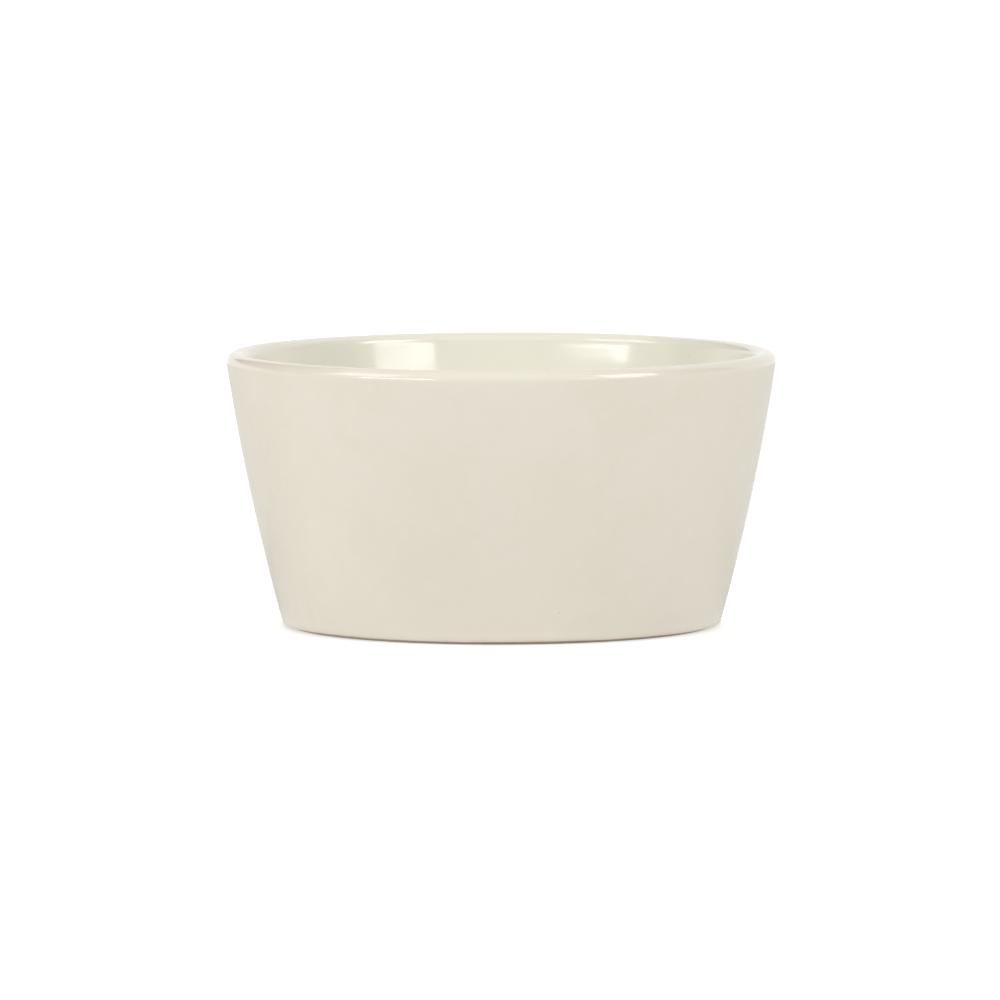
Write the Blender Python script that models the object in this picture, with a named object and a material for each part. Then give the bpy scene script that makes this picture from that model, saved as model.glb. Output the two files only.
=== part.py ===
"""Sauce bowl: a turned clay body on a foot ring, its coat of glaze, and the glazed patch under its floor.

Run it in Blender. Lengths are in metres, +Z is up, and the origin is in the middle under the foot ring.

The whole bowl is one cross-section, a chain of arcs that run smoothly into each other.
The finished surface, the back of the glaze and the clay are three copies of that section, each parallel to
the last, so that the glaze has the same thickness everywhere. The sections are then turned about Z.
"""

import math

import bmesh
import bpy

# Outside of the finished bowl
RIM_DIAMETER = 0.0700  # at the widest part of the lip
FOOT_DIAMETER = 0.0556  # where the line of the wall would meet the table
HEIGHT = 0.0350
WALL_BOW = 0.0005  # how far the wall swells out of a straight line from foot to rim

# Inside of the finished bowl
LIP_THICKNESS = 0.0026
FLOOR_HEIGHT = 0.0048  # the inside floor above the table
WALL_THICKNESS_AT_FLOOR = 0.0064  # where the line of the inner wall would meet the floor
INNER_WALL_HOLLOW = 0.0014  # how far the inner wall is hollowed out of a straight line
INSIDE_CORNER_RADIUS = 0.0090  # between the floor and the wall

# Foot ring and the recess inside it, in bare clay
FOOT_RING_WIDTH = 0.0030  # the flat that touches the table
FOOT_OUTER_EDGE_RADIUS = 0.0009
FOOT_INNER_EDGE_RADIUS = 0.0007
RECESS_DEPTH = 0.0020
RECESS_CORNER_RADIUS = 0.0012

# Glaze
GLAZE_THICKNESS = 0.00035
BOND_GAP = 0.0003  # kept between glaze and clay, which are fused on the real bowl
GLAZE_WRAP = math.radians(4)  # how far round the foot's outer edge the glaze reaches

# Smoothness of the turned surfaces
TURN_STEPS = 64
WALL_STEPS = 4
LIP_STEPS = 4
CORNER_STEPS = 6
EDGE_STEPS = 4
WELD_DISTANCE = 1e-7
SHARP_ANGLE = math.radians(40)

# Colour, roughness and metallic value of each material
CLAY_LOOK = ((0.62, 0.54, 0.42, 1.0), 0.80, 0.0)
GLAZE_LOOK = ((0.77, 0.72, 0.61, 1.0), 0.15, 0.0)

CLAY_INSET = GLAZE_THICKNESS + BOND_GAP
DOWN = -math.pi / 2
UP = math.pi / 2


def clear_scene():
    """Removes whatever the scene holds."""
    for thing in list(bpy.data.objects):
        bpy.data.objects.remove(thing, do_unlink=True)


def arc(centre, radius, start, end, steps):
    """Points along an arc, with both its ends. Angle 0 points away from the bowl's axis and UP points up."""
    points = []
    for i in range(steps + 1):
        angle = start + (end - start) * i / steps
        points.append((centre[0] + radius * math.cos(angle), centre[1] + radius * math.sin(angle)))
    return points


def bearing(start, end):
    """The angle of the line from one point to another."""
    return math.atan2(end[1] - start[1], end[0] - start[0])


def outward_to_height(centre, reach, height):
    """The outer one of the two points at this height that lie at this distance from the centre."""
    return (centre[0] + math.sqrt(reach**2 - (height - centre[1]) ** 2), height)


def meeting_point(first, first_reach, second, second_reach):
    """The point at given distances from two others, to the right of the line that joins them."""
    apart = math.dist(first, second)
    along = (apart**2 + first_reach**2 - second_reach**2) / (2 * apart)
    turn = math.acos(along / first_reach)
    angle = bearing(first, second) - turn
    return (first[0] + first_reach * math.cos(angle), first[1] + first_reach * math.sin(angle))


def arc_radius(chord, bow):
    """The radius of an arc that strays this far from its chord."""
    return chord**2 / (8 * bow) + bow / 2


# The lip is a half round, so its centre follows from the rim, the height and the lip's thickness.
LIP_RADIUS = LIP_THICKNESS / 2
LIP_CENTRE = (RIM_DIAMETER / 2 - LIP_RADIUS, HEIGHT - LIP_RADIUS)

# The outer wall is one long arc through the foot point, and it runs into the lip without a crease.
FOOT_POINT = (FOOT_DIAMETER / 2, 0.0)
WALL_RADIUS = arc_radius(math.dist(FOOT_POINT, LIP_CENTRE), WALL_BOW)
WALL_CENTRE = meeting_point(LIP_CENTRE, WALL_RADIUS - LIP_RADIUS, FOOT_POINT, WALL_RADIUS)

# The foot's outer edge rounds the clay from the wall to the table.
FOOT_EDGE_CENTRE = outward_to_height(
    WALL_CENTRE,
    WALL_RADIUS - CLAY_INSET - FOOT_OUTER_EDGE_RADIUS,
    FOOT_OUTER_EDGE_RADIUS,
)

# The inner wall is an arc too. It leaves the lip without a crease, and it is aimed at a point on the floor.
INNER_FOOT_POINT = (
    outward_to_height(WALL_CENTRE, WALL_RADIUS, FLOOR_HEIGHT)[0] - WALL_THICKNESS_AT_FLOOR,
    FLOOR_HEIGHT,
)
INNER_WALL_RADIUS = arc_radius(math.dist(INNER_FOOT_POINT, LIP_CENTRE), INNER_WALL_HOLLOW)
INNER_WALL_CENTRE = meeting_point(
    LIP_CENTRE, INNER_WALL_RADIUS + LIP_RADIUS, INNER_FOOT_POINT, INNER_WALL_RADIUS
)

# The inside corner touches the floor and the inner wall.
CORNER_CENTRE = outward_to_height(
    INNER_WALL_CENTRE,
    INNER_WALL_RADIUS - INSIDE_CORNER_RADIUS,
    FLOOR_HEIGHT + INSIDE_CORNER_RADIUS,
)

# Where the inner wall runs into the corner and into the lip, seen from the inner wall's centre.
CORNER_END_ANGLE = bearing(INNER_WALL_CENTRE, CORNER_CENTRE)
INNER_WALL_END_ANGLE = bearing(INNER_WALL_CENTRE, LIP_CENTRE)

# Where the outer wall runs into the lip and into the foot's edge, seen from the wall's centre.
LIP_END_ANGLE = bearing(WALL_CENTRE, LIP_CENTRE)
FOOT_START_ANGLE = bearing(WALL_CENTRE, FOOT_EDGE_CENTRE)
GLAZE_END_ANGLE = FOOT_START_ANGLE - GLAZE_WRAP


def inside_and_lip(inset):
    """The section's points from the middle of the inside floor over the lip, this far under the surface."""
    floor = [(0.0, FLOOR_HEIGHT - inset)]
    corner = arc(CORNER_CENTRE, INSIDE_CORNER_RADIUS + inset, DOWN, CORNER_END_ANGLE, CORNER_STEPS)
    wall = arc(
        INNER_WALL_CENTRE,
        INNER_WALL_RADIUS + inset,
        CORNER_END_ANGLE,
        INNER_WALL_END_ANGLE,
        WALL_STEPS,
    )
    lip_radius = LIP_RADIUS - inset
    lip_inside = arc(LIP_CENTRE, lip_radius, INNER_WALL_END_ANGLE + math.pi, UP, LIP_STEPS)
    lip_outside = arc(LIP_CENTRE, lip_radius, UP, 0.0, LIP_STEPS)
    widest_to_wall = arc(LIP_CENTRE, lip_radius, 0.0, LIP_END_ANGLE, 1)
    return floor + corner + wall[1:] + lip_inside[1:] + lip_outside[1:] + widest_to_wall[1:]


def outer_wall(inset, end_angle):
    """The outer wall below the lip, then the foot's outer edge round to the end angle."""
    wall = arc(WALL_CENTRE, WALL_RADIUS - inset, LIP_END_ANGLE, FOOT_START_ANGLE, WALL_STEPS)
    edge_radius = FOOT_OUTER_EDGE_RADIUS + CLAY_INSET - inset
    edge = arc(FOOT_EDGE_CENTRE, edge_radius, FOOT_START_ANGLE, end_angle, EDGE_STEPS)
    return wall[1:] + edge[1:]


def rounded_end(outer, inner):
    """A half-round bead between the two faces of the glaze where it stops, without its end points."""
    middle = ((outer[0] + inner[0]) / 2, (outer[1] + inner[1]) / 2)
    start = bearing(middle, outer)
    bead = arc(middle, math.dist(outer, inner) / 2, start, start - math.pi, EDGE_STEPS)
    return bead[1:-1]


def foot_and_recess():
    """The bare foot ring from its flat inwards, then up into the recess and across to the axis."""
    flat_end = FOOT_EDGE_CENTRE[0] - FOOT_RING_WIDTH
    inner_edge = arc(
        (flat_end, FOOT_INNER_EDGE_RADIUS), FOOT_INNER_EDGE_RADIUS, DOWN, DOWN - UP, EDGE_STEPS
    )
    return inner_edge + recess_corner(0.0) + [(0.0, RECESS_DEPTH)]


def recess_corner(below):
    """The hollow corner between the foot ring's inner side and the recess, this far below the clay."""
    centre = (
        FOOT_EDGE_CENTRE[0] - FOOT_RING_WIDTH - FOOT_INNER_EDGE_RADIUS - RECESS_CORNER_RADIUS,
        RECESS_DEPTH - RECESS_CORNER_RADIUS,
    )
    return arc(centre, RECESS_CORNER_RADIUS - below, 0.0, UP, EDGE_STEPS)


def clay_section():
    """The clay: inside, lip, outer wall, foot ring and recess."""
    return inside_and_lip(CLAY_INSET) + outer_wall(CLAY_INSET, DOWN) + foot_and_recess()


def glaze_coat_section():
    """The coat's finished face from the floor to the foot, its rounded end, and its back."""
    face = inside_and_lip(0.0) + outer_wall(0.0, GLAZE_END_ANGLE)
    back = inside_and_lip(GLAZE_THICKNESS) + outer_wall(GLAZE_THICKNESS, GLAZE_END_ANGLE)
    return face + rounded_end(face[-1], back[-1]) + back[::-1]


def underside_glaze_section():
    """The patch's back against the recess, its rounded end beside the foot ring, and its finished face."""
    back = [(0.0, RECESS_DEPTH - BOND_GAP)] + recess_corner(BOND_GAP)[::-1]
    face = [(0.0, RECESS_DEPTH - CLAY_INSET)] + recess_corner(CLAY_INSET)[::-1]
    return back + rounded_end(back[-1], face[-1]) + face[::-1]


def material(name, look):
    """A plain material with this base colour, roughness and metallic value."""
    colour, roughness, metallic = look
    made = bpy.data.materials.new(name)
    made.use_nodes = True
    made.diffuse_color = colour
    shader = made.node_tree.nodes["Principled BSDF"]
    shader.inputs["Base Color"].default_value = colour
    shader.inputs["Roughness"].default_value = roughness
    shader.inputs["Metallic"].default_value = metallic
    return made


def turned(name, section, look):
    """Turns a section, a line of (radius, height) points, all the way round the Z axis into a solid."""
    shape = bmesh.new()
    line = [shape.verts.new((radius, 0.0, height)) for radius, height in section]
    for start, end in zip(line, line[1:]):
        shape.edges.new((start, end))
    bmesh.ops.spin(
        shape,
        geom=shape.verts[:] + shape.edges[:],
        axis=(0.0, 0.0, 1.0),
        cent=(0.0, 0.0, 0.0),
        angle=math.tau,
        steps=TURN_STEPS,
        use_merge=True,
    )
    bmesh.ops.remove_doubles(shape, verts=shape.verts[:], dist=WELD_DISTANCE)
    bmesh.ops.recalc_face_normals(shape, faces=shape.faces[:])
    mesh = bpy.data.meshes.new(name)
    shape.to_mesh(mesh)
    shape.free()
    mesh.shade_smooth()
    mesh.set_sharp_from_angle(angle=SHARP_ANGLE)
    mesh.materials.append(material(name, look))
    solid = bpy.data.objects.new(name, mesh)
    bpy.context.scene.collection.objects.link(solid)
    return solid


def build_bowl():
    """Makes the three pieces, which share one axis and so need no placing."""
    clear_scene()
    turned("clay_body", clay_section(), CLAY_LOOK)
    turned("glaze_coat", glaze_coat_section(), GLAZE_LOOK)
    turned("underside_glaze", underside_glaze_section(), GLAZE_LOOK)


build_bowl()
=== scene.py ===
# %% [markdown]
# A sauce bowl in ivory glaze.
#
# The bowl is small turned stoneware: one body of clay, a glossy coat of glaze that covers all but the foot
# ring, and a patch of the same glaze in the recess underneath. The frame holds these three as plain solids
# of the right size. This lesson gives each of them a fine surface and a finish, and then lights them softly.
#
# The frame comes first. Its box is kept, and the bowl's sizes are read from it.

import math

import bmesh
import bpy
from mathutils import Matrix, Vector, noise


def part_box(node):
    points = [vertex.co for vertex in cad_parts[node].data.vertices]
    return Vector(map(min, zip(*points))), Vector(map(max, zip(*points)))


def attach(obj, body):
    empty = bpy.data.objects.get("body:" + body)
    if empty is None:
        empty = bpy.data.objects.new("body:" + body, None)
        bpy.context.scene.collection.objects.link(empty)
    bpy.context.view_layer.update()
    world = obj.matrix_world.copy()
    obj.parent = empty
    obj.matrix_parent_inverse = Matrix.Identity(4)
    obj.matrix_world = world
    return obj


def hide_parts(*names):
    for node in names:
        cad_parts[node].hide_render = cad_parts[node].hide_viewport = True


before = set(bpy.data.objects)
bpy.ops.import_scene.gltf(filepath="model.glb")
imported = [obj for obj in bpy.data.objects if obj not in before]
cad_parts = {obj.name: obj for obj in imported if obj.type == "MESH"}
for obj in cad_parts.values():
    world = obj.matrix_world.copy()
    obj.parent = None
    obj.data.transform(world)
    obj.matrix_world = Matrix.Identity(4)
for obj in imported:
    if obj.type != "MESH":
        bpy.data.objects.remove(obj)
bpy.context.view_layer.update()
MM = 0.001


print("solids in the frame:", sorted(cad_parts))

# %% [markdown]
# The outside sizes are read from the solids themselves: the rim and the height from the coat, and the depth
# of the clay under the finished surface from how much lower the clay ends. What a box can't tell, such as
# how thick the lip is or how the wall swells, is given again here.

# %% The bowl's sizes, in metres
_, coat_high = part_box("glaze_coat")
_, clay_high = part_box("clay_body")
_, patch_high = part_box("underside_glaze")

RIM_RADIUS = coat_high.x
HEIGHT = coat_high.z
CLAY_DEPTH = coat_high.z - clay_high.z  # the clay's solid below the finished surface
FOOT_DIAMETER = 55.6 * MM  # where the line of the wall would meet the table
WALL_BOW = 0.5 * MM  # how far the wall swells out of a straight line
LIP_THICKNESS = 2.6 * MM
FLOOR_HEIGHT = 4.8 * MM
WALL_THICKNESS_AT_FLOOR = 6.4 * MM  # where the line of the inner wall would meet the floor
INNER_WALL_HOLLOW = 1.4 * MM  # how far the inner wall is hollowed out of a straight line
INSIDE_CORNER_RADIUS = 9.0 * MM
GLAZE_THICKNESS = 0.35 * MM
FOOT_RING_WIDTH = 3.0 * MM
FOOT_OUTER_EDGE_RADIUS = 0.9 * MM
FOOT_INNER_EDGE_RADIUS = 0.7 * MM
RECESS_CORNER_RADIUS = 1.2 * MM
RECESS_DEPTH = patch_high.z + CLAY_DEPTH - GLAZE_THICKNESS
GLAZE_WRAP = math.radians(4)  # how far round the foot's outer edge the glaze reaches
print(f"rim {2 * RIM_RADIUS / MM:.2f} mm, height {HEIGHT / MM:.2f} mm")
print(f"clay {CLAY_DEPTH / MM:.2f} mm below the surface, recess {RECESS_DEPTH / MM:.2f} mm deep")

# %% [markdown]
# The shape of a turned bowl is one line, its section. A potter's profile gauge follows it from the middle
# of the inside floor, round the corner, up the wall, over the lip and down to the foot. A list of points
# could draw it, but then every change would mean new points. Here it is a chain of straight and round
# stretches that run into each other without a crease, and a place on it is found by its distance along it.
#
# A place is (distance from the axis, height, facing). The facing is the angle in which the surface looks, 0
# away from the axis and 90 degrees up. It makes parallel lines easy: the back of the glaze is the same line
# moved against its facing.

# %% Straight and round stretches
DOWN = -math.pi / 2
UP = math.pi / 2


def bearing(start, end):
    """The angle of the line from one point to another."""
    return math.atan2(end[1] - start[1], end[0] - start[0])


def go_from(point, distance, angle):
    """The point this far from another, in this direction."""
    return (point[0] + distance * math.cos(angle), point[1] + distance * math.sin(angle))


def straight(start, end):
    """A straight stretch. It faces to the left of its own run."""
    run = bearing(start, end)

    def place(distance):
        return (*go_from(start, distance, run), run + UP)

    return math.dist(start, end), place


def round_stretch(centre, radius, start, end):
    """A stretch of a circle. It faces its centre where it turns left, and away from it otherwise."""
    turn = 1 if end > start else -1
    facing_shift = math.pi if end > start else 0.0

    def place(distance):
        angle = start + turn * distance / radius
        return (*go_from(centre, radius, angle), angle + facing_shift)

    return abs(end - start) * radius, place


def inset(place, depth):
    """The place this deep below a place on the finished surface."""
    facing = place[2]
    return (*go_from(place, -depth, facing), facing)


quarter_length, _ = round_stretch((0.0, 0.0), 1.0, 0.0, UP)
print(f"a quarter circle of radius 1 is {quarter_length:.4f} long")

# %% [markdown]
# The centres of the round stretches follow from the sizes. The lip is a half round, so its centre lies half
# its thickness in from the rim and down from the top. The outer wall is one very large arc through the foot
# that touches the lip's circle. The inner wall is an arc too, slightly hollow, which is what puts one
# highlight high and the other low on it. It leaves the lip without a crease and is aimed at a point on the
# floor, and the inside corner touches the floor and the wall.

# %% Work out the section's centres
LIP_RADIUS = LIP_THICKNESS / 2
LIP_CENTRE = (RIM_RADIUS - LIP_RADIUS, HEIGHT - LIP_RADIUS)
FOOT_POINT = (FOOT_DIAMETER / 2, 0.0)


def crossing(first, first_reach, second, second_reach):
    """The point at given distances from two others, to the right of the line between them."""
    apart = math.dist(first, second)
    along = (apart**2 + first_reach**2 - second_reach**2) / (2 * apart)
    return go_from(first, first_reach, bearing(first, second) - math.acos(along / first_reach))


def at_height(centre, reach, height):
    """The outer point at this height that lies at this distance from the centre."""
    return (centre[0] + math.sqrt(reach**2 - (height - centre[1]) ** 2), height)


def arc_radius(chord, bow):
    """The radius of an arc that strays this far from its chord."""
    return chord**2 / (8 * bow) + bow / 2


WALL_RADIUS = arc_radius(math.dist(FOOT_POINT, LIP_CENTRE), WALL_BOW)
WALL_CENTRE = crossing(LIP_CENTRE, WALL_RADIUS - LIP_RADIUS, FOOT_POINT, WALL_RADIUS)
FOOT_EDGE_CENTRE = at_height(
    WALL_CENTRE, WALL_RADIUS - CLAY_DEPTH - FOOT_OUTER_EDGE_RADIUS, FOOT_OUTER_EDGE_RADIUS
)
WALL_BESIDE_FLOOR = at_height(WALL_CENTRE, WALL_RADIUS, FLOOR_HEIGHT)
INNER_FOOT = (WALL_BESIDE_FLOOR[0] - WALL_THICKNESS_AT_FLOOR, FLOOR_HEIGHT)
INNER_WALL_RADIUS = arc_radius(math.dist(INNER_FOOT, LIP_CENTRE), INNER_WALL_HOLLOW)
INNER_WALL_CENTRE = crossing(LIP_CENTRE, INNER_WALL_RADIUS + LIP_RADIUS, INNER_FOOT, INNER_WALL_RADIUS)
CORNER_CENTRE = at_height(
    INNER_WALL_CENTRE, INNER_WALL_RADIUS - INSIDE_CORNER_RADIUS, FLOOR_HEIGHT + INSIDE_CORNER_RADIUS
)
print(f"radius of the outer wall {WALL_RADIUS / MM:.0f} mm, of the inner {INNER_WALL_RADIUS / MM:.0f} mm")

# %% [markdown]
# With the centres known, the chain can be put together. The distances at which the corner, the lip and the
# foot begin are kept by name, because the glaze behaves differently in each of those places.

# %% Chain the stretches into the section
CORNER_END_ANGLE = bearing(INNER_WALL_CENTRE, CORNER_CENTRE)
INNER_WALL_END_ANGLE = bearing(INNER_WALL_CENTRE, LIP_CENTRE)
LIP_START_ANGLE = INNER_WALL_END_ANGLE + math.pi
LIP_END_ANGLE = bearing(WALL_CENTRE, LIP_CENTRE)
FOOT_START_ANGLE = bearing(WALL_CENTRE, FOOT_EDGE_CENTRE)
GLAZE_END_ANGLE = FOOT_START_ANGLE - GLAZE_WRAP
coat_stretches = {
    "inside floor": straight((0.0, FLOOR_HEIGHT), (CORNER_CENTRE[0], FLOOR_HEIGHT)),
    "inside corner": round_stretch(CORNER_CENTRE, INSIDE_CORNER_RADIUS, DOWN, CORNER_END_ANGLE),
    "inner wall": round_stretch(INNER_WALL_CENTRE, INNER_WALL_RADIUS, CORNER_END_ANGLE, INNER_WALL_END_ANGLE),
    "lip": round_stretch(LIP_CENTRE, LIP_RADIUS, LIP_START_ANGLE, LIP_END_ANGLE),
    "outer wall": round_stretch(WALL_CENTRE, WALL_RADIUS, LIP_END_ANGLE, FOOT_START_ANGLE),
    "foot edge": round_stretch(
        FOOT_EDGE_CENTRE, FOOT_OUTER_EDGE_RADIUS + CLAY_DEPTH, FOOT_START_ANGLE, GLAZE_END_ANGLE
    ),
}

begins = {}
coat_length = 0.0
for stretch_name, (stretch_length, _) in coat_stretches.items():
    begins[stretch_name] = coat_length
    coat_length += stretch_length
    print(f"{stretch_name}: {stretch_length / MM:.2f} mm")


def length_of(stretch_name):
    """The length of one stretch of the section."""
    return coat_stretches[stretch_name][0]


def on_coat(distance):
    """The place on the finished surface at this distance from the middle of the inside floor."""
    for length, place in coat_stretches.values():
        if distance <= length:
            return place(max(distance, 0.0))
        distance -= length
    return place(length + distance)


print(f"the whole section is {coat_length / MM:.2f} mm long")

# %% [markdown]
# The section is now turned about the axis. Blender's Screw modifier or the spin operator would do that, but
# they give every direction the same section. Nothing thrown and dipped by hand is that even, so the rings of
# points are made here one by one, and each point may ask how far its own place lies below the ideal line.
# Where a section meets the axis, its ring is one point.

# %% Turn a section into a solid
TURN_STEPS = 240
ON_AXIS = 1e-7


def in_space(across, height, angle):
    """The point that lies this far from the axis, at this height and angle."""
    return Vector((across * math.cos(angle), across * math.sin(angle), height))


def ring_of(shape, row):
    """The ring of points of one row, which gives (across, height) for an angle."""
    if row(0.0)[0] < ON_AXIS:
        return [shape.verts.new((0.0, 0.0, row(0.0)[1]))] * TURN_STEPS
    angles = [math.tau * step / TURN_STEPS for step in range(TURN_STEPS)]
    return [shape.verts.new(in_space(*row(angle), angle)) for angle in angles]


def band_between(shape, lower, upper):
    """The faces between two rings, or triangles where one of them is a point on the axis."""
    for step in range(len(lower)):
        following = (step + 1) % len(lower)
        corners = dict.fromkeys([lower[step], lower[following], upper[following], upper[step]])
        if len(corners) > 2:
            shape.faces.new(list(corners))


def object_from(shape, name):
    """Turns a finished shape into an object of the scene."""
    mesh = bpy.data.meshes.new(name)
    shape.to_mesh(mesh)
    shape.free()
    made = bpy.data.objects.new(name, mesh)
    bpy.context.scene.collection.objects.link(made)
    return made


def turned(name, rows):
    """Turns rows into a smooth solid with its faces pointing out."""
    shape = bmesh.new()
    rings = [ring_of(shape, row) for row in rows]
    for lower, upper in zip(rings, rings[1:]):
        band_between(shape, lower, upper)
    bmesh.ops.recalc_face_normals(shape, faces=shape.faces[:])
    solid = object_from(shape, name)
    solid.data.shade_smooth()
    return solid


def spread(start, end, spacing):
    """Distances from start to end, both included, about this far apart."""
    count = max(1, round(abs(end - start) / spacing))
    return [start + (end - start) * i / count for i in range(count + 1)]


rim_stray = RIM_RADIUS * (1 - math.cos(math.pi / TURN_STEPS))
print(f"a ring of {TURN_STEPS} points on the rim strays {rim_stray / MM:.4f} mm from a circle")

# %% [markdown]
# What makes a fired surface look real is how little it strays. Three small departures are used, all of them
# below the ideal surface, so that the bowl never outgrows its sizes. The clay wanders a few hundredths of a
# millimetre as it dries. The turning tool leaves a shallow thread that climbs the wall. And the lip dips and
# rises a little on its way round. A texture could paint them, but the rim would still draw a perfect line.

# %% How far the surface lies below the ideal one
WANDER_SIZE = 24 * MM
WANDER_DEPTH = 0.05 * MM
THREAD_PITCH = 2.3 * MM
THREAD_DEPTH = 0.006 * MM
THREAD_START = 6 * THREAD_PITCH  # how far from the axis the thread has its full depth
ELSEWHERE = Vector((9.0, 0.0, 0.0))  # leads to another part of the same noise
LIP_DIP = 0.06 * MM
LIP_DIP_REACH = 5 * MM


def wander(point, size=1.0):
    """A smooth number from 0 to 1 that drifts over about this length."""
    return min(1.0, max(0.0, 0.5 + 0.5 * noise.noise(point / size)))


def wander_round(angle, radius, level, size=1.0):
    """Noise read along a circle in it, so that a full turn ends where it began."""
    return wander(in_space(radius, level, angle), size)


def thread(distance, angle):
    """The turning tool's mark, from 0 to 1: it climbs one pitch in each turn."""
    return 0.5 - 0.5 * math.cos(math.tau * distance / THREAD_PITCH - angle)


def relief(distance, angle):
    """How deep below the ideal surface a place on the coat lies."""
    across, height, _ = on_coat(distance)
    point = in_space(across, height, angle)
    fade = min(1.0, across / THREAD_START)
    depth = WANDER_DEPTH * wander(point, WANDER_SIZE)
    depth += THREAD_DEPTH * fade * thread(distance, angle) * wander(point + ELSEWHERE, WANDER_SIZE)
    to_lip = abs(distance - begins["lip"] - length_of("lip") / 2)
    if to_lip < LIP_DIP_REACH:
        nearness = 0.5 + 0.5 * math.cos(math.pi * to_lip / LIP_DIP_REACH)
        depth += LIP_DIP * nearness * wander_round(angle, 1.0, 5.0, 0.6)
    return depth


samples = [relief(coat_length * i / 40, math.tau * j / 24) for i in range(41) for j in range(24)]
print(f"the surface lies {min(samples) / MM:.3f} to {max(samples) / MM:.3f} mm below the ideal one")

# %% [markdown]
# The coat of glaze is a skin with a front, a rolled lower edge and a back. The edge is where a sponge wiped
# the foot clean before firing, so it isn't a true circle: it rises and falls by a few tenths of a
# millimetre. To make that, the last few millimetres of the coat are drawn up the section by an amount that
# depends on the angle. Molten glaze also gathers in the inside corner, where it stands a little higher.

# %% Where the glaze ends, and where it gathers
EDGE_RISE = 0.25 * MM
EDGE_STRETCH = 4.0 * MM  # the part of the coat that is drawn up
CORNER_POOL = 0.12 * MM
POOL_MIDDLE = 0.45  # a share of the inside corner's length
POOL_REACH = 0.40  # a share of it too


def hill(distance, reach):
    """1 at no distance, about a third at this reach, and soon nothing."""
    return math.exp(-((distance / reach) ** 2))


def edge_rise(angle):
    """How far the wiped edge lies above its lowest line: slow waves with finer ones on them."""
    return EDGE_RISE * (0.75 * wander_round(angle, 2.2, 1.7) + 0.25 * wander_round(angle, 9.0, 4.1))


def drawn_up(distance, angle):
    """Where on the section a row ends up once the coat follows the wiped edge."""
    share = max(0.0, 1 - (coat_length - distance) / EDGE_STRETCH)
    return distance - edge_rise(angle) * share * share


def pooling(distance):
    """How much higher the glaze stands in the inside corner, from 0 to 1."""
    corner = length_of("inside corner")
    return hill(distance - begins["inside corner"] - POOL_MIDDLE * corner, POOL_REACH * corner)


rises = [edge_rise(math.tau * i / 72) / MM for i in range(72)]
print(f"the wiped edge rises {min(rises):.2f} to {max(rises):.2f} mm")

# %% [markdown]
# A row is one ring of the coat, written as a function of the angle, so that every point in it can follow the
# wander, the thread and the wiped edge. There are rows of the front, rows of the back, and rows of the half
# round that joins them at the edge.

# %% The rows of the coat
EDGE_ROWS = 7


def front_row(distance):
    """One ring of the coat's front."""
    pool = CORNER_POOL * pooling(distance)
    return lambda angle: inset(on_coat(drawn_up(distance, angle)), relief(distance, angle) - pool)[:2]


def back_row(distance):
    """One ring of the coat's back."""
    return lambda angle: inset(on_coat(drawn_up(distance, angle)), GLAZE_THICKNESS)[:2]


def rolled_edge_row(start_row, end_row, share):
    """One ring of a rounded edge, at this share of the way from one row to another."""

    def row(angle):
        start, end = start_row(angle), end_row(angle)
        middle = ((start[0] + end[0]) / 2, (start[1] + end[1]) / 2)
        return go_from(middle, math.dist(start, end) / 2, bearing(middle, start) - math.pi * share)

    return row


def rolled_edge(start_row, end_row):
    """All the rings of a rounded edge between two rows."""
    return [rolled_edge_row(start_row, end_row, i / (EDGE_ROWS + 1)) for i in range(1, EDGE_ROWS + 1)]


print("a rounded edge has", EDGE_ROWS, "rings")

# %% [markdown]
# The rows go down the coat's front, round the rolled edge and back up behind it. They lie close together
# where the surface turns sharply and further apart on the walls, so the triangles go where they are seen.
# The back is hidden against the clay and needs only a few.

# %% The coat of glaze
FRONT_SPACING = {
    "inside floor": 0.8 * MM,
    "inside corner": 0.4 * MM,
    "inner wall": 0.45 * MM,
    "lip": 0.16 * MM,
    "outer wall": 0.4 * MM,
    "foot edge": 0.08 * MM,
}
BACK_SPACING = 2.0 * MM

front_distances = [0.0]
for stretch_name, spacing in FRONT_SPACING.items():
    start = begins[stretch_name]
    front_distances += spread(start, start + length_of(stretch_name), spacing)[1:]
back_distances = spread(coat_length, 0.0, BACK_SPACING)
coat_rows = [front_row(distance) for distance in front_distances]
coat_rows += rolled_edge(front_row(coat_length), back_row(coat_length))
coat_rows += [back_row(distance) for distance in back_distances]

coat = turned("ivory_glaze_coat", coat_rows)
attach(coat, "root")
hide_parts("glaze_coat")
print("the coat has", len(front_distances), "rings in front and", len(coat.data.polygons), "faces")

# %% [markdown]
# The clay shows only at the foot ring, but it is made whole, because a bowl is bought, handled and chipped
# whole. Its upper part follows the back of the glaze, a hair's breadth below it. At the foot it rounds down
# to the flat that touches the table, rounds up again on the inside and meets the recess in a soft hollow
# corner. The flat stays level, since it was rubbed true on a board.

# %% The round parts of the foot
CLAY_UNDER_GLAZE = 0.02 * MM
FLAT_OUTER = FOOT_EDGE_CENTRE[0]
FLAT_INNER = FLAT_OUTER - FOOT_RING_WIDTH
FOOT_EDGE_REACH = FOOT_OUTER_EDGE_RADIUS + CLAY_DEPTH - GLAZE_THICKNESS - CLAY_UNDER_GLAZE
RECESS_CORNER_CENTRE = (
    FLAT_INNER - FOOT_INNER_EDGE_RADIUS - RECESS_CORNER_RADIUS,
    RECESS_DEPTH - RECESS_CORNER_RADIUS,
)
inner_edge_length, inner_edge_place = round_stretch(
    (FLAT_INNER, FOOT_INNER_EDGE_RADIUS), FOOT_INNER_EDGE_RADIUS, DOWN, DOWN - UP
)
recess_corner_length, recess_corner_place = round_stretch(RECESS_CORNER_CENTRE, RECESS_CORNER_RADIUS, 0.0, UP)


def plain_row(place):
    """One ring through a place, the same all the way round."""
    return lambda angle: place[:2]


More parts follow.
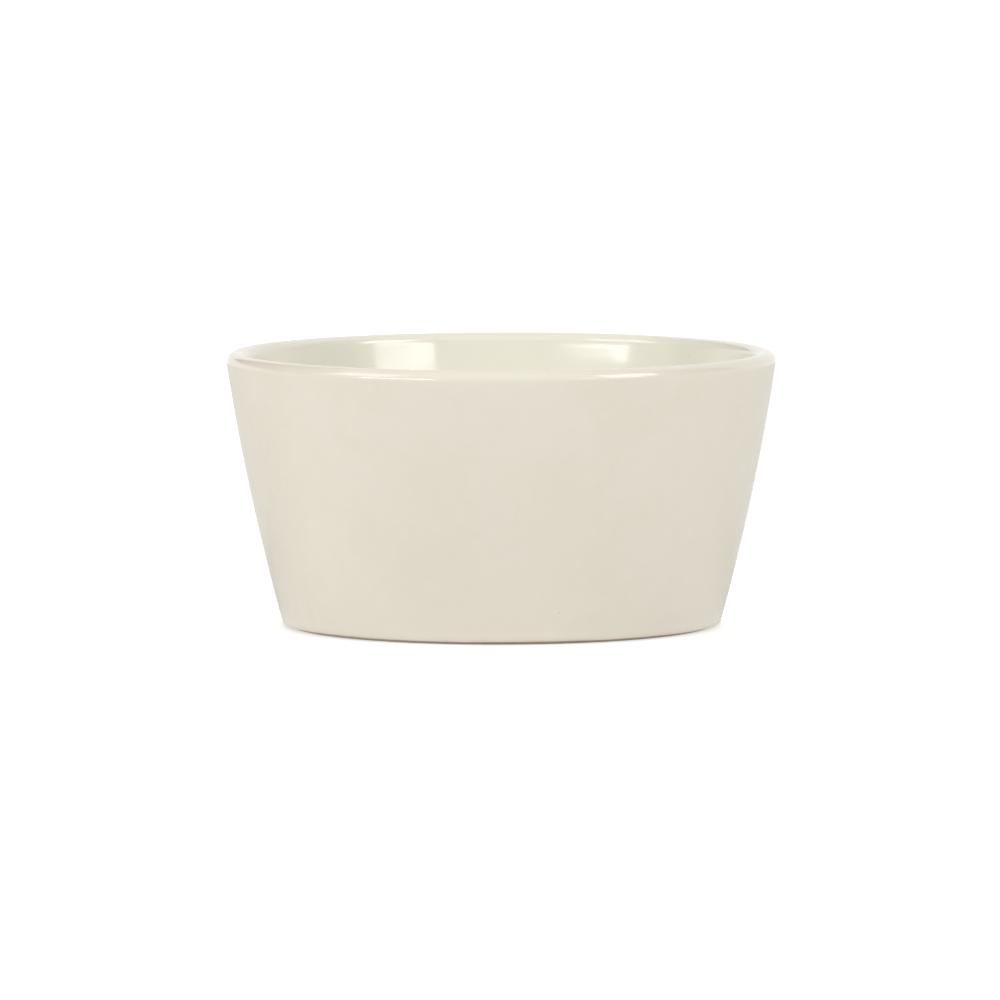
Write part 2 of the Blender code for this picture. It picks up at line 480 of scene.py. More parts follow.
def outer_edge_place(turn):
    """A place on the foot's outer edge, which runs from the wall to the table."""
    across = FOOT_EDGE_CENTRE[0] + FOOT_EDGE_REACH * math.cos(turn)
    return (across, FOOT_EDGE_CENTRE[1] + FOOT_OUTER_EDGE_RADIUS * math.sin(turn))


print(f"the flat of the foot runs from {FLAT_INNER / MM:.2f} to {FLAT_OUTER / MM:.2f} mm")

# %% [markdown]
# With these, the clay's rows are one list of places: under the coat, round the foot's outer edge, across the
# flat, up its inner side, round the recess's corner and in to the axis.

# %% The clay body
CLAY_SPACING = 1.2 * MM
CLAY_FLAT_SPACING = 0.25 * MM
CLAY_EDGE_SPACING = 0.09 * MM
CLAY_EDGE_TURN = math.radians(5)

clay_places = [
    inset(on_coat(distance), GLAZE_THICKNESS + CLAY_UNDER_GLAZE)
    for distance in spread(0.0, begins["foot edge"], CLAY_SPACING)
]
clay_places += [outer_edge_place(turn) for turn in spread(FOOT_START_ANGLE, DOWN, CLAY_EDGE_TURN)[1:]]
clay_places += [(across, 0.0) for across in spread(FLAT_OUTER, FLAT_INNER, CLAY_FLAT_SPACING)[1:]]
clay_places += [inner_edge_place(d) for d in spread(0.0, inner_edge_length, CLAY_EDGE_SPACING)[1:]]
clay_places += [recess_corner_place(d) for d in spread(0.0, recess_corner_length, CLAY_EDGE_SPACING)]
clay_places += [(across, RECESS_DEPTH) for across in spread(RECESS_CORNER_CENTRE[0], 0.0, CLAY_SPACING)[1:]]

clay = turned("bare_clay_body", [plain_row(place) for place in clay_places])
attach(clay, "root")
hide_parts("clay_body")
print("the clay has", len(clay_places), "rings and", len(clay.data.polygons), "faces")

# %% [markdown]
# Under the floor the recess was filled with glaze by a brush or a dip, and its edge was wiped as well. The
# patch is a thin disc that turns down into the hollow corner beside the foot ring. It is made like the coat,
# from a front that is seen from below and a back against the clay.

# %% The rows of the patch under the floor
PATCH_CLEARANCE = 0.02 * MM
PATCH_EDGE_RISE = math.radians(26)
PATCH_WANDER = 0.04 * MM
PATCH_WANDER_SIZE = 9 * MM
PATCH_WANDER_START = 3 * MM  # how far inside the corner the level part wanders fully
PATCH_FRONT = PATCH_CLEARANCE + GLAZE_THICKNESS  # the front below the clay


def patch_edge(angle):
    """How far round the hollow corner the wiped edge stands back from its lowest line."""
    return PATCH_EDGE_RISE * wander_round(angle, 2.6, 8.3)


def patch_corner_row(turn, depth):
    """One ring in the hollow corner. Turn 0 is the wiped edge and a quarter turn is the level part."""

    def row(angle):
        wiped_turn = turn + patch_edge(angle) * (1 - turn / UP)
        return go_from(RECESS_CORNER_CENTRE, RECESS_CORNER_RADIUS - depth, wiped_turn)

    return row


def patch_face_row(across):
    """One ring of the level part that is seen from below."""
    share = min(1.0, (RECESS_CORNER_CENTRE[0] - across) / PATCH_WANDER_START)

    def row(angle):
        lift = PATCH_WANDER * wander(in_space(across, 0.0, angle), PATCH_WANDER_SIZE) * share
        return (across, RECESS_DEPTH - PATCH_FRONT + lift)

    return row


edges = [math.degrees(patch_edge(math.tau * i / 72)) for i in range(72)]
print(f"the patch's edge stands {min(edges):.0f} to {max(edges):.0f} degrees up the corner")

# %% [markdown]
# Its rows start on the axis at the back, go out to the corner and down it, round the rolled edge, and home
# along the front.

# %% The glaze under the floor
PATCH_TURN = math.radians(7)
PATCH_SPACING = 0.8 * MM
PATCH_BACK_HEIGHT = RECESS_DEPTH - PATCH_CLEARANCE
LEVEL_END = RECESS_CORNER_CENTRE[0]

corner_turns = spread(UP, 0.0, PATCH_TURN)
patch_rows = [plain_row((across, PATCH_BACK_HEIGHT)) for across in spread(0.0, LEVEL_END, BACK_SPACING)]
patch_rows += [patch_corner_row(turn, PATCH_CLEARANCE) for turn in corner_turns[1:]]
patch_rows += rolled_edge(patch_corner_row(0.0, PATCH_CLEARANCE), patch_corner_row(0.0, PATCH_FRONT))
patch_rows += [patch_corner_row(turn, PATCH_FRONT) for turn in corner_turns[::-1]]
patch_rows += [patch_face_row(across) for across in spread(LEVEL_END, 0.0, PATCH_SPACING)[1:]]

patch = turned("ivory_glaze_underside", patch_rows)
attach(patch, "root")
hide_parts("underside_glaze")
print("the patch has", len(patch_rows), "rings and", len(patch.data.polygons), "faces")

# %% [markdown]
# A fine surface is only right if it lies where the solid's does. The solid's coat has its points on the same
# section and on its back, so all of them but those of its rounded edge should be found again here.

# %% Compare the fine section with the solid
COMPARED_STEPS = 8000
SAME_PLACE = 0.03 * MM  # nearer than this is found again

coat_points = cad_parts["glaze_coat"].data.vertices
solid_rings = {(round(math.hypot(v.co.x, v.co.y), 6), round(v.co.z, 6)) for v in coat_points}
for layer, depth in (("front", 0.0), ("back", GLAZE_THICKNESS)):
    places = [inset(on_coat(coat_length * i / COMPARED_STEPS), depth)[:2] for i in range(COMPARED_STEPS + 1)]
    strays = [min(math.dist(ring, place) for place in places) for ring in solid_rings]
    near = [stray for stray in strays if stray < SAME_PLACE]
    print(f"{layer}: {len(near)} of {len(strays)} rings lie within {max(near) / MM:.3f} mm")

# %% [markdown]
# Now the finishes. A glaze is glass with fine particles in it. It is never one flat colour: clouds a few
# millimetres wide drift through it, it thins on the lip, where the warm clay glows through, and it gathers in
# corners, where it grows deeper and a little cooler. Nodes that read the piece's own coordinates give this
# without any picture, and they follow the bowl wherever it is moved.
#
# Small helpers keep the node code short. One adds a node and sets its values, the others do sums with it.

# %% Helpers for node materials
MIX_SHARE, MIX_FIRST, MIX_SECOND, MIX_RESULT = 0, 6, 7, 2  # the Mix node's sockets for colours


def new_material(name):
    """An empty material with its shader and output already joined."""
    made = bpy.data.materials.new(name)
    made.use_nodes = True
    tree = made.node_tree
    return made, tree, tree.nodes["Principled BSDF"]


def add(tree, kind, inputs=(), **settings):
    """Adds a node, sets its properties, and fills its inputs with values or other nodes' sockets."""
    node = tree.nodes.new(kind)
    for key, value in settings.items():
        setattr(node, key, value)
    for key, value in dict(inputs).items():
        if isinstance(value, bpy.types.NodeSocket):
            tree.links.new(value, node.inputs[key])
        else:
            node.inputs[key].default_value = value
    return node


def calc(tree, operation, *values):
    """One sum, product or comparison of numbers or sockets."""
    return add(tree, "ShaderNodeMath", enumerate(values), operation=operation).outputs[0]


def weighted_sum(tree, *terms):
    """Adds up sockets, each of them times its own number."""
    total, *others = [calc(tree, "MULTIPLY", value, weight) for value, weight in terms]
    for other in others:
        total = calc(tree, "ADD", total, other)
    return total


def remap(tree, value, low, high, to_low=0.0, to_high=1.0):
    """Moves a number smoothly from one range to another and stops at its ends."""
    inputs = {"Value": value, "From Min": low, "From Max": high, "To Min": to_low, "To Max": to_high}
    return add(tree, "ShaderNodeMapRange", inputs, interpolation_type="SMOOTHSTEP").outputs["Result"]


def blend(tree, share, first, second):
    """Mixes two colours."""
    inputs = {MIX_SHARE: share, MIX_FIRST: first, MIX_SECOND: second}
    return add(tree, "ShaderNodeMix", inputs, data_type="RGBA").outputs[MIX_RESULT]


print("sums and colours are ready")

# %% [markdown]
# Three more make what both finishes are built from: clouds, dots, and relief too fine for the mesh. The dots
# come from a Voronoi texture, which has one point in each cell of space. It gives every cell a chance colour,
# and that decides whether the cell keeps its dot and how large the dot is.

# %% Clouds, dots and fine relief
SMALLEST_DOT = 0.55  # a share of the largest
DOT_SOFTNESS = 0.5


def clouds(tree, place, size, detail=3.0, roughness=0.5, distortion=0.0):
    """Cloudy noise with lumps of about this size, from 0 to 1 around a half."""
    inputs = {"Vector": place, "Scale": 1 / size, "Detail": detail}
    inputs |= {"Roughness": roughness, "Distortion": distortion}
    return add(tree, "ShaderNodeTexNoise", inputs).outputs["Fac"]


def dots(tree, place, spacing, radius, keep, shift=(0.0, 0.0, 0.0)):
    """Round dots: one in each cell of this spacing, and only this share of them is kept."""
    moved = add(tree, "ShaderNodeVectorMath", {0: place, 1: shift}, operation="ADD").outputs[0]
    cells = add(tree, "ShaderNodeTexVoronoi", {"Vector": moved, "Scale": 1 / spacing})
    chance = add(tree, "ShaderNodeSeparateColor", {"Color": cells.outputs["Color"]}).outputs[0]
    size = calc(tree, "MULTIPLY", radius / spacing, remap(tree, chance, 0.0, keep, SMALLEST_DOT, 1.0))
    inside = calc(tree, "SUBTRACT", 1.0, calc(tree, "DIVIDE", cells.outputs["Distance"], size))
    kept = calc(tree, "LESS_THAN", chance, keep)
    return calc(tree, "MULTIPLY", remap(tree, inside, 0.0, DOT_SOFTNESS), kept)


def fine_relief(tree, shader, height, strength):
    """Bends the shading as if the surface had this height, given in millimetres."""
    bump = add(tree, "ShaderNodeBump", {"Strength": strength, "Distance": 1 * MM, "Height": height})
    tree.links.new(bump.outputs["Normal"], shader.inputs["Normal"])


print("clouds, dots and fine relief are ready")

# %% [markdown]
# The depth of the glaze at each place is known while the mesh is made, so it is written on the mesh as an
# attribute: low where it is thin, higher where it is even, and near 1 where it has gathered. The outside was
# dipped. The inside was filled and poured out, so the glaze lies thicker there and looks paler. The material
# only has to read the depth. Working it out again from coordinates in nodes would drift from the shape.

# %% The depth of the coat's glaze
EVEN_DEPTH = 0.40
POURED_DEPTH = 0.70
CORNER_GATHER = 0.25
LIP_CREST = 0.46  # a share of the lip's length
CREST_BLEND = 0.9 * MM  # over which the poured depth passes into the even one
LIP_THINNING = 0.16
LIP_THIN_REACH = 0.8 * MM
EDGE_GATHER = 0.12
EDGE_GATHER_HEIGHT = 0.8 * MM
EDGE_GATHER_REACH = 0.6 * MM
EDGE_THINNING = 0.30
EDGE_THIN_REACH = 0.16 * MM


def glaze_depth(distance):
    """The glaze's depth from 0 to 1 at a distance along the section."""
    past_crest = distance - begins["lip"] - length_of("lip") * LIP_CREST
    above_edge = coat_length - distance
    inside = 0.5 - 0.5 * math.tanh(past_crest / CREST_BLEND)
    depth = EVEN_DEPTH + (POURED_DEPTH - EVEN_DEPTH) * inside + CORNER_GATHER * pooling(distance)
    depth -= LIP_THINNING * hill(past_crest, LIP_THIN_REACH)
    depth += EDGE_GATHER * hill(above_edge - EDGE_GATHER_HEIGHT, EDGE_GATHER_REACH)
    return depth - EDGE_THINNING * hill(above_edge, EDGE_THIN_REACH)


def write_numbers(piece, name, values):
    """Stores one number for each point of a piece."""
    layer = piece.data.attributes.new(name, "FLOAT", "POINT")
    layer.data.foreach_set("value", values)


coat_depths = []
for row, distance in zip(coat_rows, front_distances + [coat_length] * EDGE_ROWS + back_distances):
    points_in_row = 1 if row(0.0)[0] < ON_AXIS else TURN_STEPS
    coat_depths += [glaze_depth(distance)] * points_in_row
write_numbers(coat, "glaze_depth", coat_depths)
print(f"the coat's depth runs from {min(coat_depths):.2f} to {max(coat_depths):.2f}")

# %% [markdown]
# The patch was brushed or dipped once and never poured, so its glaze is even, but for the edge that the
# sponge thinned.

# %% The depth of the patch's glaze
PATCH_DEPTH = 0.62
PATCH_THINNING = 0.4
PATCH_THIN_REACH = 0.5 * MM


def patch_depth(across, height):
    """The glaze's depth at a place on the patch."""
    if across <= RECESS_CORNER_CENTRE[0]:
        return PATCH_DEPTH
    up_corner = RECESS_CORNER_RADIUS * bearing(RECESS_CORNER_CENTRE, (across, height))
    return PATCH_DEPTH - PATCH_THINNING * hill(up_corner, PATCH_THIN_REACH)


patch_depths = [patch_depth(vertex.co.xy.length, vertex.co.z) for vertex in patch.data.vertices]
write_numbers(patch, "glaze_depth", patch_depths)
print(f"the patch's depth runs from {min(patch_depths):.2f} to {max(patch_depths):.2f}")

# %% [markdown]
# The ivory glaze. Its colour is a ramp over its depth, from the warm thin tone through the even and the
# poured ivory to the deepest one, and the clouds push the depth up and down a little. A few faint specks of
# iron and some pinholes are far apart, as in a clean commercial glaze.

# %% The glaze's colour
GLAZE_THIN = (0.70, 0.62, 0.485, 1.0)
GLAZE_EVEN = (0.77, 0.717, 0.612, 1.0)
GLAZE_THICK = (0.778, 0.757, 0.657, 1.0)
GLAZE_POOLED = (0.745, 0.724, 0.61, 1.0)
SPECK = (0.34, 0.25, 0.15, 1.0)
CLOUD_SIZE = 9 * MM
CLOUD_PUSH = 0.05
FINE_CLOUD_SIZE = 1.6 * MM
FINE_CLOUD_PUSH = 0.02
IRON_SHARE = 0.30
PINHOLE_SHARE = 0.16


def pushed_depth(tree, place):
    """The depth on the mesh, moved up and down by the clouds."""
    depth = add(tree, "ShaderNodeAttribute", attribute_name="glaze_depth").outputs["Fac"]
    drift = clouds(tree, place, CLOUD_SIZE, detail=4.0, distortion=0.6)
    fine_drift = clouds(tree, place, FINE_CLOUD_SIZE, detail=2.0)
    depth = calc(tree, "ADD", depth, remap(tree, drift, 0.25, 0.75, -CLOUD_PUSH, CLOUD_PUSH))
    return calc(tree, "ADD", depth, remap(tree, fine_drift, 0.3, 0.7, -FINE_CLOUD_PUSH, FINE_CLOUD_PUSH))


def glaze_colour(tree, place, pinholes):
    """The ramp over the depth, with specks of iron and darker pinholes."""
    ramp = add(tree, "ShaderNodeValToRGB", {"Fac": pushed_depth(tree, place)})
    tones = ramp.color_ramp.elements
    tones[0].color = GLAZE_THIN
    tones[1].color = GLAZE_POOLED
    tones.new(EVEN_DEPTH).color = GLAZE_EVEN
    tones.new(POURED_DEPTH).color = GLAZE_THICK
    iron = dots(tree, place, spacing=3.4 * MM, radius=0.16 * MM, keep=0.16)
    tinted = blend(tree, calc(tree, "MULTIPLY", iron, IRON_SHARE), ramp.outputs["Color"], SPECK)
    return blend(tree, calc(tree, "MULTIPLY", pinholes, PINHOLE_SHARE), tinted, SPECK)


print(f"the ramp's tones lie at depths 0, {EVEN_DEPTH}, {POURED_DEPTH} and 1")

# %% [markdown]
# The gloss comes from a low roughness that clouds over slightly and is lost in the pinholes. The surface is
# not quite flat: a wide, soft swell bends reflections, and a finer one gives the skin its orange-peel look.
# All of that is bump, because it is hundredths of a millimetre deep at most. Coat and patch are one glaze
# from one bucket, so they share the finish.

# %% The glaze's gloss and skin
GLAZE_IOR = 1.5
HAZE_SIZE = 6 * MM
GLAZE_GLOSSIEST = 0.09
GLAZE_HAZIEST = 0.14
PINHOLE_ROUGHNESS = 0.3
SWELL_SIZE = 3.2 * MM
PEEL_SIZE = 0.7 * MM
SWELL_HEIGHT = 0.006  # this and the next two in millimetres
PEEL_HEIGHT = 0.0012
PINHOLE_DEPTH = 0.02


def ivory_glaze():
    """The finish of the coat and of the patch under the floor."""
    made, tree, shader = new_material("ivory_glaze_finish")
    place = add(tree, "ShaderNodeTexCoord").outputs["Object"]
    pinholes = dots(tree, place, spacing=2.3 * MM, radius=0.10 * MM, keep=0.12, shift=(0.31, 0.17, 0.05))
    tree.links.new(glaze_colour(tree, place, pinholes), shader.inputs["Base Color"])

    haze = remap(tree, clouds(tree, place, HAZE_SIZE), 0.3, 0.7, GLAZE_GLOSSIEST, GLAZE_HAZIEST)
    roughness = calc(tree, "ADD", haze, calc(tree, "MULTIPLY", pinholes, PINHOLE_ROUGHNESS))
    tree.links.new(roughness, shader.inputs["Roughness"])

    swell = clouds(tree, place, SWELL_SIZE, detail=1.0)
    peel = clouds(tree, place, PEEL_SIZE, detail=1.0)
    height = weighted_sum(tree, (swell, SWELL_HEIGHT), (peel, PEEL_HEIGHT), (pinholes, -PINHOLE_DEPTH))
    fine_relief(tree, shader, height, strength=1.0)
    shader.inputs["IOR"].default_value = GLAZE_IOR
    return made


glaze = ivory_glaze()
for piece in (coat, patch):
    piece.data.materials.append(glaze)
print("glaze nodes:", len(glaze.node_tree.nodes))

# %% [markdown]
# The bare clay. Where it meets the glaze a thin warm line appears in the firing. Two wiped edges bound the
# foot ring, the coat's outside it and the patch's inside. Neither is a true circle, so the mesh stores how
# far each place lies from the one on its side.

# %% The clay's distance from the glaze
coat_edge = back_row(coat_length)
underside_edge = patch_corner_row(0.0, PATCH_CLEARANCE)


def mm_from_glaze(point):
    """How many millimetres a point of the clay lies from the glaze's edge on its side of the foot."""
    across = point.xy.length
    edge = coat_edge if across > FLAT_INNER else underside_edge
    return math.dist(edge(math.atan2(point.y, point.x)), (across, point.z)) / MM


gaps = [mm_from_glaze(vertex.co) for vertex in clay.data.vertices]
write_numbers(clay, "mm_from_glaze", gaps)
print(f"the clay's points lie up to {max(gaps):.1f} mm from the glaze's edge")

# %% [markdown]
# Unglazed stoneware is matt and sandy, a shade browner than the glaze. Its tone is built up in layers: grain,
# wider blotches, dark sand, and the warm line beside the glaze. Use has rubbed the flat that touches the
# table, and there the clay is smoother, with greyer scuffs.

# %% The clay's colour
CLAY_TONE = (0.62, 0.54, 0.42, 1.0)
CLAY_DARK = (0.50, 0.42, 0.31, 1.0)
CLAY_FLASH = (0.60, 0.47, 0.33, 1.0)
CLAY_SCUFF = (0.52, 0.49, 0.44, 1.0)
GRAIN_SHARE = 0.55
BLOTCH_SIZE = 5 * MM
BLOTCH_SHARE = 0.35
SAND_SHARE = 0.45
FLASH_SHARE = 0.75
FLASH_FULL = 0.15  # millimetres from the glaze where the warm line is full
FLASH_GONE = 0.75  # and where it ends
FLAT_TOP = 0.03 * MM  # anything lower belongs to the flat
RUB_SIZE = 1.8 * MM
LEAST_RUBBED = 0.1
MOST_RUBBED = 0.7


def clay_colour(tree, place, grain, sand, rubbed):
    """The layers of tone, the lowest first."""
    blotches = clouds(tree, place, BLOTCH_SIZE)
    from_glaze = add(tree, "ShaderNodeAttribute", attribute_name="mm_from_glaze").outputs["Fac"]
    tone = blend(tree, remap(tree, grain, 0.35, 0.75, 0.0, GRAIN_SHARE), CLAY_TONE, CLAY_DARK)
    tone = blend(tree, remap(tree, blotches, 0.35, 0.75, 0.0, BLOTCH_SHARE), tone, CLAY_DARK)
    tone = blend(tree, calc(tree, "MULTIPLY", sand, SAND_SHARE), tone, CLAY_DARK)
    tone = blend(tree, remap(tree, from_glaze, FLASH_FULL, FLASH_GONE, FLASH_SHARE, 0.0), tone, CLAY_FLASH)
    return blend(tree, rubbed, tone, CLAY_SCUFF)


def rubbed_share(tree, place, height):
    """How far the clay is rubbed: in patches, and only on the flat."""
    wear = remap(tree, clouds(tree, place, RUB_SIZE, detail=4.0), 0.42, 0.62, LEAST_RUBBED, MOST_RUBBED)
    return calc(tree, "MULTIPLY", calc(tree, "LESS_THAN", height, FLAT_TOP), wear)


print("the clay is rubbed only below", FLAT_TOP / MM, "mm")

# %% [markdown]
# Turning left fine rings on the foot: a sine wave over the distance from the axis. The grain and the sand
# stand out a little too.

# %% The clay's surface
GRAIN_SIZE = 0.28 * MM
RING_SPACING = 0.34 * MM
GRAIN_HEIGHT = 0.10  # this and the next two in millimetres
RING_HEIGHT = 0.008
SAND_HEIGHT = 0.03
CLAY_ROUGHEST = 0.86
CLAY_SMOOTHEST = 0.62


def bare_clay():
    """The finish of the clay where no glaze covers it."""
    made, tree, shader = new_material("bare_clay_finish")
    place = add(tree, "ShaderNodeTexCoord").outputs["Object"]
    height = add(tree, "ShaderNodeSeparateXYZ", {"Vector": place}).outputs["Z"]
    level = add(tree, "ShaderNodeVectorMath", {0: place, 1: (1.0, 1.0, 0.0)}, operation="MULTIPLY").outputs[0]
    across = add(tree, "ShaderNodeVectorMath", {0: level}, operation="LENGTH").outputs["Value"]
    grain = clouds(tree, place, GRAIN_SIZE, roughness=0.7)
    sand = dots(tree, place, spacing=0.7 * MM, radius=0.14 * MM, keep=0.35)
    rubbed = rubbed_share(tree, place, height)
    tree.links.new(clay_colour(tree, place, grain, sand, rubbed), shader.inputs["Base Color"])
    roughness = remap(tree, rubbed, 0.0, MOST_RUBBED, CLAY_ROUGHEST, CLAY_SMOOTHEST)
    tree.links.new(roughness, shader.inputs["Roughness"])

    rings = calc(tree, "SINE", calc(tree, "MULTIPLY", across, math.tau / RING_SPACING))
    heights = weighted_sum(tree, (grain, GRAIN_HEIGHT), (rings, RING_HEIGHT), (sand, SAND_HEIGHT))
    fine_relief(tree, shader, heights, strength=0.8)
    return made


clay.data.materials.append(bare_clay())
print("clay nodes:", len(clay.data.materials[0].node_tree.nodes))

# %% [markdown]
# The bowl stands in a white room. To the camera and in reflections it is exactly white, and as light it is a
# soft, even fill. The Light Path node tells the two apart, for the room and for the table.

# %% The white room
ROOM_LIGHT = 0.455
WHITE = (1.0, 1.0, 1.0, 1.0)


def two_strengths(tree, as_light, as_seen):
    """One strength for light, and one for what the camera sees, in reflections and glass too."""
    path = add(tree, "ShaderNodeLightPath").outputs
    seen = calc(tree, "MAXIMUM", path["Is Camera Ray"], path["Is Glossy Ray"])
    seen = calc(tree, "MAXIMUM", seen, path["Is Transmission Ray"])
    return remap(tree, seen, 0.0, 1.0, as_light, as_seen)


room = bpy.data.worlds.new("white_room")
room.use_nodes = True
background = room.node_tree.nodes["Background"]
background.inputs["Color"].default_value = WHITE
strength = two_strengths(room.node_tree, as_light=ROOM_LIGHT, as_seen=1.0)
room.node_tree.links.new(strength, background.inputs["Strength"])
bpy.context.scene.world = room
print("as light the room has a strength of", ROOM_LIGHT)

# %% [markdown]
# The table is a light table, matt with a faint glow of its own, which keeps the foot from standing in a dark
# pit. The camera sees more of that glow, and most of it far from the bowl, where the lamps reach less. So the
# table is white wherever nothing shades it, and a breath of a shadow stays round the foot. Seen from below
# the table is clear, so that the foot can be looked at from there.

# %% The finish of the table
TABLE_TONE = (0.56, 0.56, 0.56, 1.0)
TABLE_GLOW = 0.15
NEAR_TABLE_GLOW = 0.56  # as the camera sees it beside the bowl
FAR_TABLE_GLOW = 0.80  # and further away from it
NEAR_ENDS = 0.1
FAR_BEGINS = 1.0


def table_finish():
    """Matt with a faint glow, and clear from below."""
    made, tree, shader = new_material("light_table_finish")
    tree.nodes.remove(shader)
    matt = add(tree, "ShaderNodeBsdfDiffuse", {"Color": TABLE_TONE}).outputs[0]
    place = add(tree, "ShaderNodeTexCoord").outputs["Object"]
    away = add(tree, "ShaderNodeVectorMath", {0: place}, operation="LENGTH").outputs["Value"]
    shown = remap(tree, away, NEAR_ENDS, FAR_BEGINS, NEAR_TABLE_GLOW, FAR_TABLE_GLOW)
    strength = two_strengths(tree, as_light=TABLE_GLOW, as_seen=shown)
    glow = add(tree, "ShaderNodeEmission", {"Color": WHITE, "Strength": strength}).outputs[0]
    top = add(tree, "ShaderNodeAddShader", {0: matt, 1: glow}).outputs[0]
    under = add(tree, "ShaderNodeBsdfTransparent").outputs[0]
    from_below = add(tree, "ShaderNodeNewGeometry").outputs["Backfacing"]
    both = add(tree, "ShaderNodeMixShader", {0: from_below, 1: top, 2: under}).outputs[0]
    tree.links.new(both, tree.nodes["Material Output"].inputs["Surface"])
    return made


light_table = table_finish()
print("table nodes:", len(light_table.node_tree.nodes))

# %% [markdown]
# The table top is one flat, many-sided face. Things in the studio are placed as a photographer says it, by
# degrees to the right of the camera and a distance from the bowl, and one helper turns that into a place.

# %% The table
TABLE_RADIUS = 4.0
TABLE_CORNERS = 96
TABLE_DROP = 0.02 * MM  # keeps the table just clear of the foot


def flat_thing(name, outline, finish):
    """A thin flat thing of the studio with these corners."""
    shape = bmesh.new()
    shape.faces.new([shape.verts.new(corner) for corner in outline])
    thing = object_from(shape, name)
    thing.data.materials.append(finish)
    return thing


def out_to(right, distance, height=0.0):
    """The place this many degrees to the right of the camera and this far from the bowl."""
    turn = math.radians(right)
    return Vector((math.sin(turn) * distance, -math.cos(turn) * distance, height))


table_outline = [out_to(360 * i / TABLE_CORNERS, TABLE_RADIUS, -TABLE_DROP) for i in range(TABLE_CORNERS)]
flat_thing("light_table", table_outline, light_table)
print("the table is", 2 * TABLE_RADIUS, "m across")

# %% [markdown]
# Soft boxes do the modelling. A large one stands high to each side, and these two draw the light lines along
# the near lip. Below each stands a low, narrow strip. The strips show on the far inner wall as two soft
# highlights, the left one low on the wall and the right one high. A box behind lifts the back of the bowl. It
# is kept out of reflections, because it would draw a hard white line round the lip. Each box is placed by
# degrees to the right of the camera and above the table. Its strength is given as brightness, where 1 is the
# white of the room, and turned into watts by its area.

# %% The soft boxes
BOX_DISTANCE = 1.0
AIM_HEIGHT = 0.7 * HEIGHT  # the place on the axis that every box faces


def soft_box(name, right, above, width, height, brightness):
    """A rectangular light that faces the bowl."""
    above = math.radians(above)
    place = out_to(right, BOX_DISTANCE * math.cos(above), AIM_HEIGHT + BOX_DISTANCE * math.sin(above))
    light = bpy.data.lights.new(name, "AREA")
    light.shape = "RECTANGLE"
    light.size = width
    light.size_y = height
    light.energy = brightness * math.pi * width * height
    box = bpy.data.objects.new(name, light)
    box.location = place
    box.rotation_mode = "QUATERNION"
    box.rotation_quaternion = (place - Vector((0.0, 0.0, AIM_HEIGHT))).to_track_quat("Z", "Y")
    box.visible_camera = False
    bpy.context.scene.collection.objects.link(box)
    print(f"{name}: {light.energy:.2f} W")
    return box


soft_box("high_left_box", right=-66, above=38, width=0.50, height=0.46, brightness=3.5)
soft_box("high_right_box", right=60, above=33, width=0.44, height=0.40, brightness=6.5)
soft_box("left_strip", right=-45, above=11.3, width=0.59, height=0.075, brightness=20.0)
soft_box("right_strip", right=47, above=15.5, width=0.52, height=0.085, brightness=6.8)
back_box = soft_box("back_box", right=180, above=34, width=0.60, height=0.50, brightness=2.6)
back_box.visible_glossy = False

# %% [markdown]
# A pale glossy thing in a white room has no edges. Photographers stand dark cards beside it, out of the
# picture, and the surface picks them up as darker ends. Three tall cards hang here above the table, two on
# the left and one on the right, so that the mouth's two ends darken below and stay light at the rim. They
# show in reflections only, so they take no light away and never stand in front of a camera.

# %% The dark cards
CARD_TONE = (0.12, 0.11, 0.10, 1.0)
CARD_ROUGHNESS = 0.9
CARD_DISTANCE = 0.9


def matt_finish(name, tone):
    """One plain matt tone."""
    made, _, shader = new_material(name)
    shader.inputs["Base Color"].default_value = tone
    shader.inputs["Roughness"].default_value = CARD_ROUGHNESS
    return made


def in_reflections_only(thing):
    """Hides a thing from the camera and from the light."""
    thing.visible_camera = False
    thing.visible_diffuse = False
    thing.visible_shadow = False


def dark_card(name, start, end, low, high):
    """An upright card from one direction to another, between two heights."""
    outline = [out_to(turn, CARD_DISTANCE, low) for turn in (start, end)]
    outline += [out_to(turn, CARD_DISTANCE, high) for turn in (end, start)]
    in_reflections_only(flat_thing(name, outline, matt_finish(name + "_finish", CARD_TONE)))


dark_card("left_side_card", start=-88, end=-114, low=0.15, high=1.1)
dark_card("left_back_card", start=-114, end=-160, low=0.22, high=1.1)
dark_card("right_side_card", start=71, end=117, low=0.15, high=1.1)
print("three dark cards hang", CARD_DISTANCE, "m from the bowl")

# %% [markdown]
# A grey sheet lies on the table round the back of the bowl, where the bowl's flanks mirror it. It fades out
# towards the front, so that no edge of it shows in the glaze, and it shows in reflections only as well.

# %% The grey sheet
SHEET_TONE = (0.80, 0.78, 0.74, 1.0)
SHEET_NEAR = 0.022  # under the foot ring
SHEET_FAR = 0.60
SHEET_STEP = 5  # degrees between the corners of its outline
FADE_START = -0.55  # where -1 is straight to the front and 1 straight to the back
FADE_END = 0.45


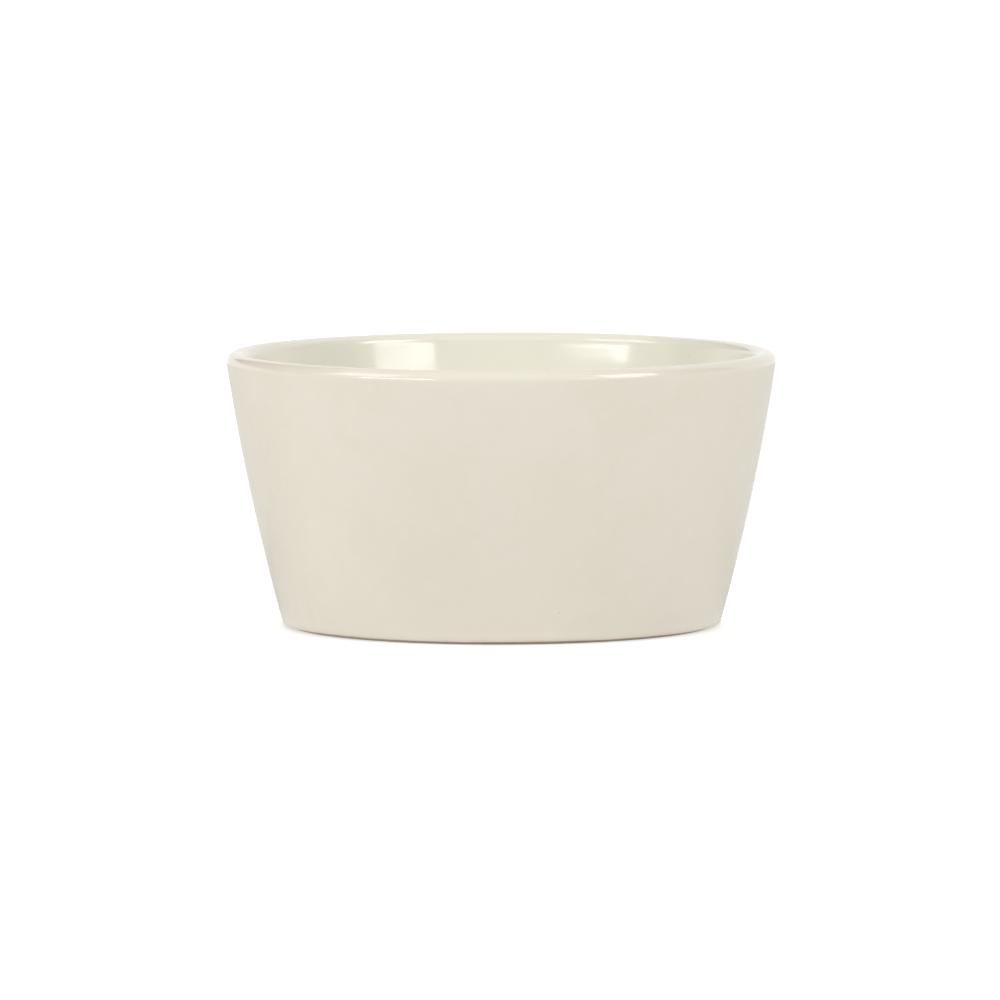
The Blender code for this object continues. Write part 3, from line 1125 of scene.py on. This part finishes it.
def grey_sheet(name, start, end):
    """A flat sheet round a part of the bowl, from one direction to another."""
    turns = spread(start, end, SHEET_STEP)
    outline = [out_to(turn, SHEET_FAR) for turn in turns]
    outline += [out_to(turn, SHEET_NEAR) for turn in turns[::-1]]
    finish = matt_finish(name + "_finish", SHEET_TONE)
    tree = finish.node_tree
    place = add(tree, "ShaderNodeTexCoord").outputs["Object"]
    direction = add(tree, "ShaderNodeVectorMath", {0: place}, operation="NORMALIZE").outputs[0]
    to_the_back = add(tree, "ShaderNodeSeparateXYZ", {"Vector": direction}).outputs["Y"]
    cover = remap(tree, to_the_back, FADE_START, FADE_END)
    tree.links.new(cover, tree.nodes["Principled BSDF"].inputs["Alpha"])
    in_reflections_only(flat_thing(name, outline, finish))


grey_sheet("grey_sheet", start=55, end=305)
print("the grey sheet reaches", SHEET_FAR, "m from the bowl")

# %% [markdown]
# The camera stands a metre and a half away with a very long lens, nearly level with the bowl, so the rim is a
# thin ellipse and just a little of the far inside wall shows. It aims a hair to the left of the bowl's axis
# and is turned by a tenth of a degree, because the bowl in the picture isn't perfectly straight.

# %% The camera
CAMERA_DISTANCE = 1.529
CAMERA_ELEVATION = math.radians(4.86)
CAMERA_ROLL = math.radians(0.11)
FRAME_WIDTH_AT_BOWL = 0.1274
SENSOR_WIDTH = 36.0
CAMERA_TARGET = Vector((-0.19 * MM, 0.0, 15.92 * MM))

lens = bpy.data.cameras.new("camera")
lens.sensor_width = SENSOR_WIDTH
lens.lens = SENSOR_WIDTH * CAMERA_DISTANCE / FRAME_WIDTH_AT_BOWL
lens.clip_start = 0.05
lens.clip_end = 20.0
camera = bpy.data.objects.new("camera", lens)
backwards = Vector((0.0, -math.cos(CAMERA_ELEVATION), math.sin(CAMERA_ELEVATION)))
camera.location = CAMERA_TARGET + backwards * CAMERA_DISTANCE
camera.rotation_mode = "QUATERNION"
camera.rotation_quaternion = backwards.to_track_quat("Z", "Y")
camera.rotation_mode = "XYZ"
camera.rotation_euler.rotate_axis("Z", -CAMERA_ROLL)
bpy.context.scene.collection.objects.link(camera)
bpy.context.scene.camera = camera
bpy.context.scene.view_settings.view_transform = "Standard"
print(f"the lens is {lens.lens:.0f} mm long, and the camera stands {camera.location.z:.3f} m up")
